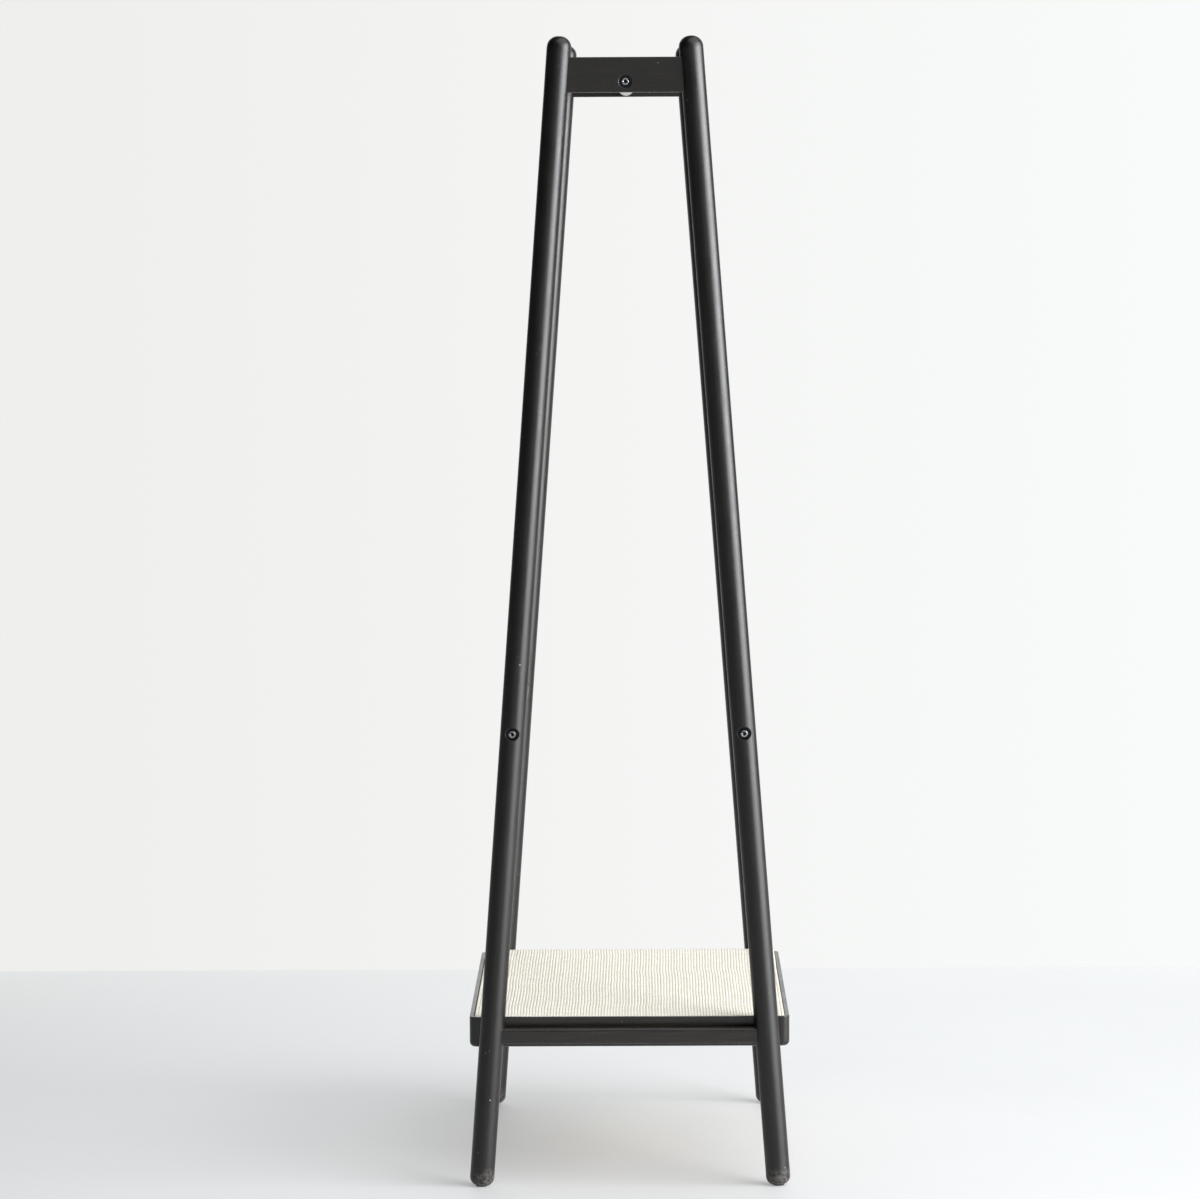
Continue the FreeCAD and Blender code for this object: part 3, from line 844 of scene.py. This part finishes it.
@dataclass
class Rails:
    """The hanging rail and the two middle rails, with their bolts, washers and insert nuts.

    Attributes:
        head_radius: Radius of a socket head.
        head_height: Height of a socket head.
        head_edge: Radius that rounds its top edge.
        shank_radius: Radius of a bolt's shank.
        across_flats: Size of the hexagonal socket.
        socket_depth: Depth of the socket, to its floor's edge.
        socket_chamfer: Size of the slope round its mouth.
        drill_point: How far the floor's cone goes on below that.
        point_share: Size of the cone's end as a share of the socket's, and floor_share of its start.
        bevel: Height of the smallest bevels.
        knurls: Ridges round a head.
        knurl_depth: Depth of the grooves between them.
        knurl_from: Where the ridges start below the rounded edge.
        knurl_to: Where they end above the head's underside.
        base_bevel: How far the underside's edge is turned in.
        tip_length: Length of the shank's pointed tip.
        tip_bevel: How much smaller its end is.
        sides: Vertices round a bolt, a multiple of six and of the knurls.
        crisp: Angle between faces past which an edge is shaded sharp.
    """

    SOCKET_BANDS = 3  # bands of faces inside a socket, counted from its pole, which take painted shade

    head_radius: float = 5 * MM
    head_height: float = 6 * MM
    head_edge: float = 0.6 * MM
    shank_radius: float = 3 * MM
    across_flats: float = 5 * MM
    socket_depth: float = 3 * MM
    socket_chamfer: float = 0.35 * MM
    drill_point: float = 0.9 * MM
    point_share: float = 0.02
    floor_share: float = 0.97
    bevel: float = 0.1 * MM
    knurls: int = 30
    knurl_depth: float = 0.14 * MM
    knurl_from: float = 0.3 * MM
    knurl_to: float = 0.4 * MM
    base_bevel: float = 0.3 * MM
    tip_length: float = 0.8 * MM
    tip_bevel: float = 0.6 * MM
    sides: int = 120
    crisp: float = math.radians(35)

    def bolt(self, face: Vector, outward: Vector, length: float) -> tuple[Array, list[list[int]]]:
        """One socket-head bolt as a turned surface.

        The radius is a profile carried round the axis. In the socket it follows a hexagon, which is
        half the flats' distance over the cosine of the angle from the nearest flat's middle. On the
        side of the head it dips between the knurls as the square of a sine.

        Args:
            face: The middle of the head's outer face.
            outward: The way the head faces.
            length: From the head's outer face to the shank's tip.

        Returns:
            Its points and faces.
        """
        angle = np.arange(self.sides) * (2 * math.pi / self.sides)
        sector = math.pi / 3
        hexagon = self.across_flats / 2 / np.cos((angle + sector / 2) % sector - sector / 2)
        knurled = self.head_radius - self.knurl_depth * np.sin(angle * self.knurls / 2) ** 2
        circle = np.ones(self.sides)
        corner = self.across_flats / math.sqrt(3)
        flat = self.head_radius - self.head_edge
        base, tip = -self.head_height, -length
        profile = [
            (hexagon * self.point_share, -self.socket_depth - self.drill_point),
            (hexagon * self.floor_share, -self.socket_depth),
            (hexagon, -self.socket_depth + self.bevel),
            (hexagon, -self.socket_chamfer),
            (np.maximum(hexagon, corner + self.bevel / 2), -self.bevel / 5),
            (circle * (corner + self.socket_chamfer), 0.0),
        ]
        profile += [
            (circle * (flat + self.head_edge * math.sin(b)), self.head_edge * (math.cos(b) - 1))
            for b in QUARTER_TURN
        ]
        profile += [
            (knurled, -self.head_edge - self.knurl_from),
            (knurled, base + self.knurl_to),
            (circle * (self.head_radius - self.base_bevel / 2), base + self.bevel),
            (circle * (self.head_radius - self.base_bevel), base),
            (circle * self.shank_radius, base),
            (circle * self.shank_radius, tip + self.tip_length),
            (circle * (self.shank_radius - self.tip_bevel), tip),
        ]
        radii = np.stack([row[0] for row in profile])
        heights = np.array([row[1] for row in profile])
        points = turned_points(radii, heights, outward, face)
        faces = [face_points[::-1] for face_points in lathe_faces(len(profile), self.sides)]
        return points, faces

    def bolt_set(
        self, node: str, name: str, steel: bpy.types.Material, socket_shade: bpy.types.Material
    ) -> bpy.types.Object:
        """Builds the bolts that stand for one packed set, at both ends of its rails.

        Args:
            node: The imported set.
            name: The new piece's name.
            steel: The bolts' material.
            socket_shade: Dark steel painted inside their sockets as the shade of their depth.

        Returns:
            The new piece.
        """
        low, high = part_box(node)
        middle = (low + high) / 2
        reach = (high.x - low.x) / 2 - self.head_radius
        columns = (0.0,) if reach < self.head_radius else (-reach, reach)
        length = self.length_of(node)
        points: list[Array] = []
        faces: list[list[int]] = []
        socket_shade_faces: list[Array] = []
        for end_y, way in ((low.y, -1.0), (high.y, 1.0)):
            for x in columns:
                at, these = self.bolt(
                    Vector((middle.x + x, end_y, middle.z)), Vector((0.0, way, 0.0)), length
                )
                shift = sum(len(p) for p in points)
                points.append(at)
                faces += [[v + shift for v in face] for face in these]
                # The socket's walls, floor and drill point take dark steel: painted shade for the deep
                # socket.
                number = np.arange(len(these))
                pole = len(these) - 2 * self.sides
                in_socket = number < self.SOCKET_BANDS * self.sides
                socket_shade_faces.append(in_socket | ((number >= pole) & (number < pole + self.sides)))
        piece = mesh_piece(name, np.vstack(points), faces, steel)
        piece.data.materials.append(socket_shade)
        piece.data.polygons.foreach_set("material_index", np.concatenate(socket_shade_faces).astype(np.int32))
        piece.data.set_sharp_from_angle(angle=self.crisp)
        return place(piece, Slot.BOLT, node)

    @staticmethod
    def length_of(node: str) -> float:
        """A packed bolt's length, from its own vertices at the front end.

        Args:
            node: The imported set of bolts.

        Returns:
            Its length in metres.
        """
        mesh = bpy.data.objects[node].data
        where = np.zeros(len(mesh.vertices) * 3, np.float32)
        mesh.vertices.foreach_get("co", where)
        y = where.reshape(-1, 3)[:, 1]
        return float(y[y < 0].max() - y.min())

    def build(self, nodes: Nodes) -> None:
        """Dresses the rails and their hidden fittings, and builds the bolts.

        Args:
            nodes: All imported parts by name.
        """
        rails = ["left_middle_rail", "right_middle_rail"]
        dress(nodes, rails, BlackLacquer("lacquered_rail", Grain.ALONG_Y.value))
        rubbed = BlackLacquer("hanger_rubbed_lacquer", Grain.ALONG_Y.value, roughness=0.16)
        dress(nodes, ["hanging_rail"], rubbed)
        washers = ["hanging_rail_washers", "middle_rail_washers"]
        dress(nodes, washers, WorkedMetal("blackened_steel_washer", "#3a3a3c", "#1f1e1d", 0.42))
        nuts = ["hanging_rail_insert_nuts", "middle_rail_insert_nuts"]
        dress(nodes, nuts, WorkedMetal("brass_insert_nut", "#d0ab62", "#8f6f36", 0.35))
        steel = WorkedMetal("zinc_plated_bolt", "#a9acaf", "#606264", 0.3).make()
        # Dark steel painted inside the sockets as their shade.
        socket_shade = WorkedMetal("socket_painted_shade", "#353536", "#1b1a1a", 0.5).make()
        for node, name in (
            ("hanging_rail_bolts", "hanging_rail_cap_bolts"),
            ("middle_rail_bolts", "middle_rail_cap_bolts"),
        ):
            self.bolt_set(node, name, steel, socket_shade)


@dataclass
class Shelf:
    """The low shelf: its rim, bearers, thin panel and screws."""

    def dress(self, nodes: Nodes) -> None:
        """Finishes the shelf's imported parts.

        Args:
            nodes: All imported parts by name.
        """
        across = ["shelf_front_board", "shelf_rear_board"]
        dress(nodes, across, BlackLacquer("lacquered_shelf_end", Grain.ALONG_X.value, roughness=0.22))
        along = ["shelf_left_board", "shelf_right_board"]
        dress(nodes, along, BlackLacquer("lacquered_shelf_side", Grain.ALONG_Y.value, roughness=0.22))
        bearers = ["shelf_front_bearer", "shelf_rear_bearer"]
        stained = BlackLacquer(
            "stained_bearer", Grain.ALONG_X.value, roughness=0.5, stain="#1a1815", streak="#3a3027"
        )
        dress(nodes, bearers, stained)
        birch = BareWood("birch_plywood", Grain.ALONG_Y.value, "#dcc39a", "#c9a877", "#a9835a")
        dress(nodes, ["shelf_panel"], birch)
        dress(nodes, ["shelf_screws"], WorkedMetal("zinc_plated_screw", "#c6c8ca", "#85878a", 0.32))


@dataclass
class WovenMat:
    """The ribbed mat that lies in the shelf's rebate.

    Attributes:
        ribs: Cords side by side across the mat.
        threads: Cross threads from front to rear; each takes two rows of vertices.
        steps: Where the columns stand across one rib, as shares of its width.
        waves: Length in metres and share of the sway, for each wave that a rib wanders on.
        sway: How far a rib wanders sideways.
        fade_ribs: Ribs from a side over which the wandering sets in.
        wave_spread: Least and greatest change of a wave's shift from rib to rib.
        wave_drift: How far that shift goes to and fro, in radians.
        gap_depth: How far a gap lies below a rib's top.
        thread_rise: How far a cross thread fills a gap.
        pinch: How far a cross thread pulls a rib's top down.
        uneven: How much lower than the tallest rib another may be.
        curl: How far the rear edge has curled up.
        curl_from: Where along the mat it starts to rise, from 0 at the front to 1 at the rear.
        seed: Seed of its random numbers.
    """

    UV_NAME = "weave"

    ribs: int = 103
    threads: int = 94
    steps: tuple[float, ...] = (0.0, 0.13, 0.36, 0.64, 0.87)
    waves: tuple[tuple[float, float], ...] = ((0.34, 0.45), (0.19, 0.3), (0.11, 0.18), (0.055, 0.1))
    sway: float = 0.9 * MM
    fade_ribs: float = 6.0
    wave_spread: tuple[float, float] = (0.02, 0.09)
    wave_drift: float = 1.6
    gap_depth: float = 1.0 * MM
    thread_rise: float = 0.5 * MM
    pinch: float = 0.2 * MM
    uneven: float = 0.2 * MM
    curl: float = 4.5 * MM
    curl_from: float = 0.7
    seed: int = 7

    def lift(self, share: Array) -> Array:
        """How far the mat has curled up: a smooth step from nothing to the whole curl.

        Args:
            share: Place along, from 0 at the front to 1 at the rear.

        Returns:
            The rise in metres at each place.
        """
        step = np.clip((share - self.curl_from) / (1 - self.curl_from), 0.0, 1.0)
        return self.curl * step**2

    def surface(self, rib: Array, share: Array, low: Vector, high: Vector) -> Array:
        """The mat's top as a surface of two parameters.

        Across, a rib's height is its gap's depth times the square root of a sine over its width. The
        whole rib wanders sideways on a sum of slow sines, which fade out at the mat's sides. Along,
        each cross thread lifts the gap on a raised cosine and pinches the rib's top a little.

        Args:
            rib: Place across, in ribs from the left side.
            share: Place along, from 0 at the front to 1 at the rear.
            low: Lowest corner of the mat's room.
            high: Highest corner of the mat's room.

        Returns:
            One row of X, Y, Z for each pair.
        """
        random = np.random.default_rng(self.seed)
        pitch = (high.x - low.x) / self.ribs
        depth = (high.y - low.y) * share
        fade = np.minimum(1.0, np.minimum(rib, self.ribs - rib) / self.fade_ribs)
        wander = np.zeros_like(share)
        for length, amount in self.waves:
            phase, spread = random.uniform(0, 2 * math.pi), random.uniform(*self.wave_spread)
            drift = self.wave_drift * np.sin(spread * rib + random.uniform(0, 2 * math.pi))
            wander = wander + amount * np.sin(2 * math.pi * depth / length + phase + drift)
        over = np.sqrt(np.abs(np.sin(math.pi * rib)))
        thread = 0.5 + 0.5 * np.cos(2 * math.pi * self.threads * share)
        lower = random.uniform(0.0, self.uneven, self.ribs + 1)
        sunk = lower[rib.astype(int)] * over + self.pinch * thread * over
        height = high.z - sunk - (self.gap_depth - self.thread_rise * thread) * (1 - over)
        height = height + self.lift(share)
        x = low.x + pitch * rib + self.sway * fade * wander
        return np.stack([x, low.y + depth, height], axis=-1)

    def closed(self, low: Vector, high: Vector) -> tuple[Array, list[list[int]], Array]:
        """The mat's top with its walls and flat underside.

        Args:
            low: Lowest corner of the mat's room.
            high: Highest corner of the mat's room.

        Returns:
            Its points, its faces, and each point's place in the weave.
        """
        inner = (np.arange(self.ribs)[:, None] + np.array(self.steps)).ravel()
        across = np.append(inner, float(self.ribs))
        along = np.linspace(0.0, 1.0, 2 * self.threads + 1)
        rib, share = (a.ravel() for a in np.meshgrid(across, along))
        top = self.surface(rib, share, low, high)
        columns, rows = len(across), len(along)
        weave = np.stack([rib / self.ribs, share], axis=-1)
        number = np.arange(rows * columns).reshape(rows, columns)
        rim = np.concatenate([number[0], number[1:-1, -1], number[-1, ::-1], number[-2:0:-1, 0]])
        under = top[rim].copy()
        under[:, 2] = low.z + self.lift(share[rim])
        base = len(top) + np.arange(len(rim))
        after = np.roll(np.arange(len(rim)), -1)
        walls = np.stack([base, base[after], rim[after], rim], axis=-1)
        front = base[:columns]
        right = base[columns : columns + rows - 2]
        rear = base[columns + rows - 2 : 2 * columns + rows - 2]
        left = base[2 * columns + rows - 2 :][::-1]
        ladder = np.stack([right[:-1], left[:-1], left[1:], right[1:]], axis=-1)
        ends = [[*front[::-1], left[0], right[0]], [*rear[::-1], right[-1], left[-1]]]
        faces = [*grid_faces(rows, columns).tolist(), *walls.tolist(), *ladder.tolist(), *ends]
        return np.vstack([top, under]), faces, np.vstack([weave, weave[rim]])

    def build(self) -> bpy.types.Object:
        """Returns:
            The mat.
        """
        low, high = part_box("woven_mat")
        cord = PaperCord("bleached_paper_cord", self.ribs, self.threads).make()
        points, faces, weave = self.closed(low, high)
        mat = mesh_piece("ribbed_cord_mat", points, faces, cord)
        corner = np.zeros(len(mat.data.loops), np.int32)
        mat.data.loops.foreach_get("vertex_index", corner)
        layer = mat.data.uv_layers.new(name=self.UV_NAME)
        layer.uv.foreach_set("vector", weave[corner].astype(np.float32).ravel())
        place(mat, Slot.MAT, "woven_mat")
        return mat


@dataclass
class FeltPads:
    """Round felt pads glued under the four feet.

    Attributes:
        sides: Vertices round a pad.
        edge: Radius of its edges.
        fuzz: How rough its rim is.
        seed: Seed of its random numbers.
    """

    sides: int = 64
    edge: float = 0.5 * MM
    fuzz: float = 0.08 * MM
    seed: int = 3

    def build(self) -> None:
        """Builds a pad at each foot: a flat round profile with rounded edges, its rim roughened."""
        felt = PressedFelt("black_felt").make()
        random = np.random.default_rng(self.seed)
        for corner in ("front_left", "front_right", "rear_left", "rear_right"):
            node = f"{corner}_foot_pad"
            low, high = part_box(node)
            radius = (high.x - low.x) / 2
            thick = high.z - low.z
            inner = radius - self.edge
            out, back = self.edge * np.sin(QUARTER_TURN), self.edge * np.cos(QUARTER_TURN)
            lower = zip(inner + out, self.edge - back)
            upper = zip(inner + back, thick - self.edge + out)
            rings = [(inner / 2, 0.0), *lower, *upper, (inner / 2, thick)]
            rough = random.uniform(-self.fuzz, 0.0, (len(rings), self.sides))
            rough[[0, 1, -2, -1]] = 0.0
            radii = np.array([r for r, _ in rings])[:, None] + rough
            heights = np.array([h for _, h in rings])
            seat = Vector(((low.x + high.x) / 2, (low.y + high.y) / 2, low.z))
            points = turned_points(radii, heights, Vector((0, 0, 1)), seat)
            faces = lathe_faces(len(rings), self.sides)
            place(mesh_piece(f"{corner}_felt_pad", points, faces, felt), Slot.FOOT_PAD, node)


# Studio


@dataclass
class Softbox:
    """One soft rectangular light.

    Attributes:
        name: The light's name.
        at: Its middle.
        towards: The point it faces.
        size: Its width and height.
        power: Its power in watts.
        tint: Its colour.
        rack_only: Whether flags keep it off the floor, the wall and the mat.
    """

    name: str
    at: Triple
    towards: Triple
    size: tuple[float, float]
    power: float
    tint: str = "#ffffff"
    rack_only: bool = False

    def build(self) -> None:
        """Hangs the light."""
        light = bpy.data.lights.new(self.name, "AREA")
        light.shape = "RECTANGLE"
        light.size, light.size_y = self.size
        light.energy = self.power
        light.color = linear(self.tint)[:3]
        lamp = bpy.data.objects.new(self.name, light)
        lamp.location = self.at
        way = Vector(self.towards) - Vector(self.at)
        lamp.rotation_euler = way.to_track_quat("-Z", "Y").to_euler()
        bpy.context.scene.collection.objects.link(lamp)
        if self.rack_only:
            lit = bpy.data.collections.new(f"lit_by_{self.name}")
            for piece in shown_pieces():
                if piece.get("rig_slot") != Slot.MAT.value:
                    lit.objects.link(piece)
            lamp.light_linking.receiver_collection = lit


@dataclass
class Studio:
    """A plain pale floor and wall, soft lights and the camera.

    Attributes:
        wall_at: How far back the wall stands.
        reach: Half the floor's size.
        wall_half_width: Half the wall's width.
        wall_height: Its height.
        camera_at: The camera's place.
        yaw: Its turn to the left, in degrees.
        pitch: Its tilt down, in degrees.
        roll: Its roll, in degrees.
        lens: Its focal length in millimetres.
        sensor: The sensor's width in millimetres.
        sharp_from: Nearest distance that it sees, and sharp_to the farthest.
        ambient: Colour of the dim light all round.
        backdrop: Colour that the eye sees past the wall.
        lights: The soft lights.
    """

    wall_at: float = 1.66
    reach: float = 14.0
    wall_half_width: float = 1.5
    wall_height: float = 3.2
    camera_at: Triple = (0.01728, -7.7294, 1.4917)
    yaw: float = 0.4377
    pitch: float = 4.9617
    roll: float = -0.2887
    lens: float = 156.009
    sensor: float = 36.0
    sharp_from: float = 0.1
    sharp_to: float = 60.0
    ambient: str = "#33363a"
    backdrop: str = "#f6f8f7"
    lights: list[Softbox] = field(
        default_factory=lambda: [
            Softbox("window", (3.6, -2.1, 1.5), (0.0, 0.0, 0.8), (4.0, 3.0), 310.0, "#fbfdff"),
            Softbox("rack_light", (3.9, -1.2, 2.1), (0.0, 0.0, 1.3), (3.2, 2.7), 220.0, "#fbfdff", True),
            Softbox("ceiling", (2.2, -1.4, 4.6), (0.2, 0.1, 0.0), (6.0, 6.0), 215.0),
            Softbox("front", (0.4, -8.9, 2.2), (0.0, 0.5, 1.2), (4.5, 3.2), 22.0),
        ]
    )

    def sheet(self, name: str, corners: Sequence[Sequence[float]], paint: Finish) -> None:
        """Makes one flat piece of the studio from four corners, anticlockwise as it is seen."""
        points = np.array(corners, float)
        mesh_piece(name, points, [[0, 1, 2, 3]], paint.make(), smooth=False)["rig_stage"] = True

    def build(self) -> None:
        """Builds the floor, the wall, the lights and the camera."""
        r, y = self.reach, self.wall_at
        w, h = self.wall_half_width, self.wall_height
        self.sheet("floor", [(-r, -r, 0), (r, -r, 0), (r, r, 0), (-r, r, 0)], StudioFloor())
        self.sheet("wall", [(-w, y, 0), (w, y, 0), (w, y, h), (-w, y, h)], LightWall())
        for light in self.lights:
            light.build()
        self.air()
        bpy.context.scene.view_settings.view_transform = "Standard"
        bpy.context.scene.view_settings.look = "None"
        self.camera()

    def air(self) -> None:
        """Fills the studio with dim light, and lets only the eye see it as pale as the wall."""
        world = bpy.data.worlds.new("studio_air")
        world.use_nodes = True
        tree = world.node_tree
        tree.nodes.clear()
        seen = add_node(tree, "LightPath").outputs["Is Camera Ray"]
        dim = add_node(tree, "Background", {"Color": linear(self.ambient)}).outputs[0]
        pale = add_node(tree, "Background", {"Color": linear(self.backdrop)}).outputs[0]
        air = add_node(tree, "MixShader", {0: seen, 1: dim, 2: pale}).outputs[0]
        add_node(tree, "OutputWorld", {"Surface": air})
        bpy.context.scene.world = world

    def camera(self) -> None:
        """Stands the camera at its place, with its turns applied in the order yaw, pitch, roll."""
        yaw, pitch, roll = (math.radians(a) for a in (self.yaw, self.pitch, self.roll))
        ahead = Vector(
            (-math.sin(yaw) * math.cos(pitch), math.cos(yaw) * math.cos(pitch), -math.sin(pitch))
        )
        level = Vector((math.cos(yaw), math.sin(yaw), 0.0))
        upright = level.cross(ahead)
        right = math.cos(roll) * level + math.sin(roll) * upright
        up = math.cos(roll) * upright - math.sin(roll) * level
        optics = bpy.data.cameras.new("camera")
        optics.sensor_fit = "HORIZONTAL"
        optics.sensor_width = self.sensor
        optics.lens = self.lens
        optics.clip_start, optics.clip_end = self.sharp_from, self.sharp_to
        camera = bpy.data.objects.new("camera", optics)
        turned = Matrix((right, up, -ahead)).transposed().to_4x4()
        camera.matrix_world = Matrix.Translation(self.camera_at) @ turned
        bpy.context.scene.collection.objects.link(camera)
        bpy.context.scene.camera = camera


def main() -> None:
    """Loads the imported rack, dresses it, builds its soft and turned pieces, and lights it."""
    logging.basicConfig(level=logging.INFO, format="%(message)s")
    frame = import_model()
    nodes = frame["nodes"]
    EndFrames().dress(nodes)
    Rails().build(nodes)
    Shelf().dress(nodes)
    WovenMat().build()
    FeltPads().build()
    Studio().build()


if __name__ == "__main__":
    main()
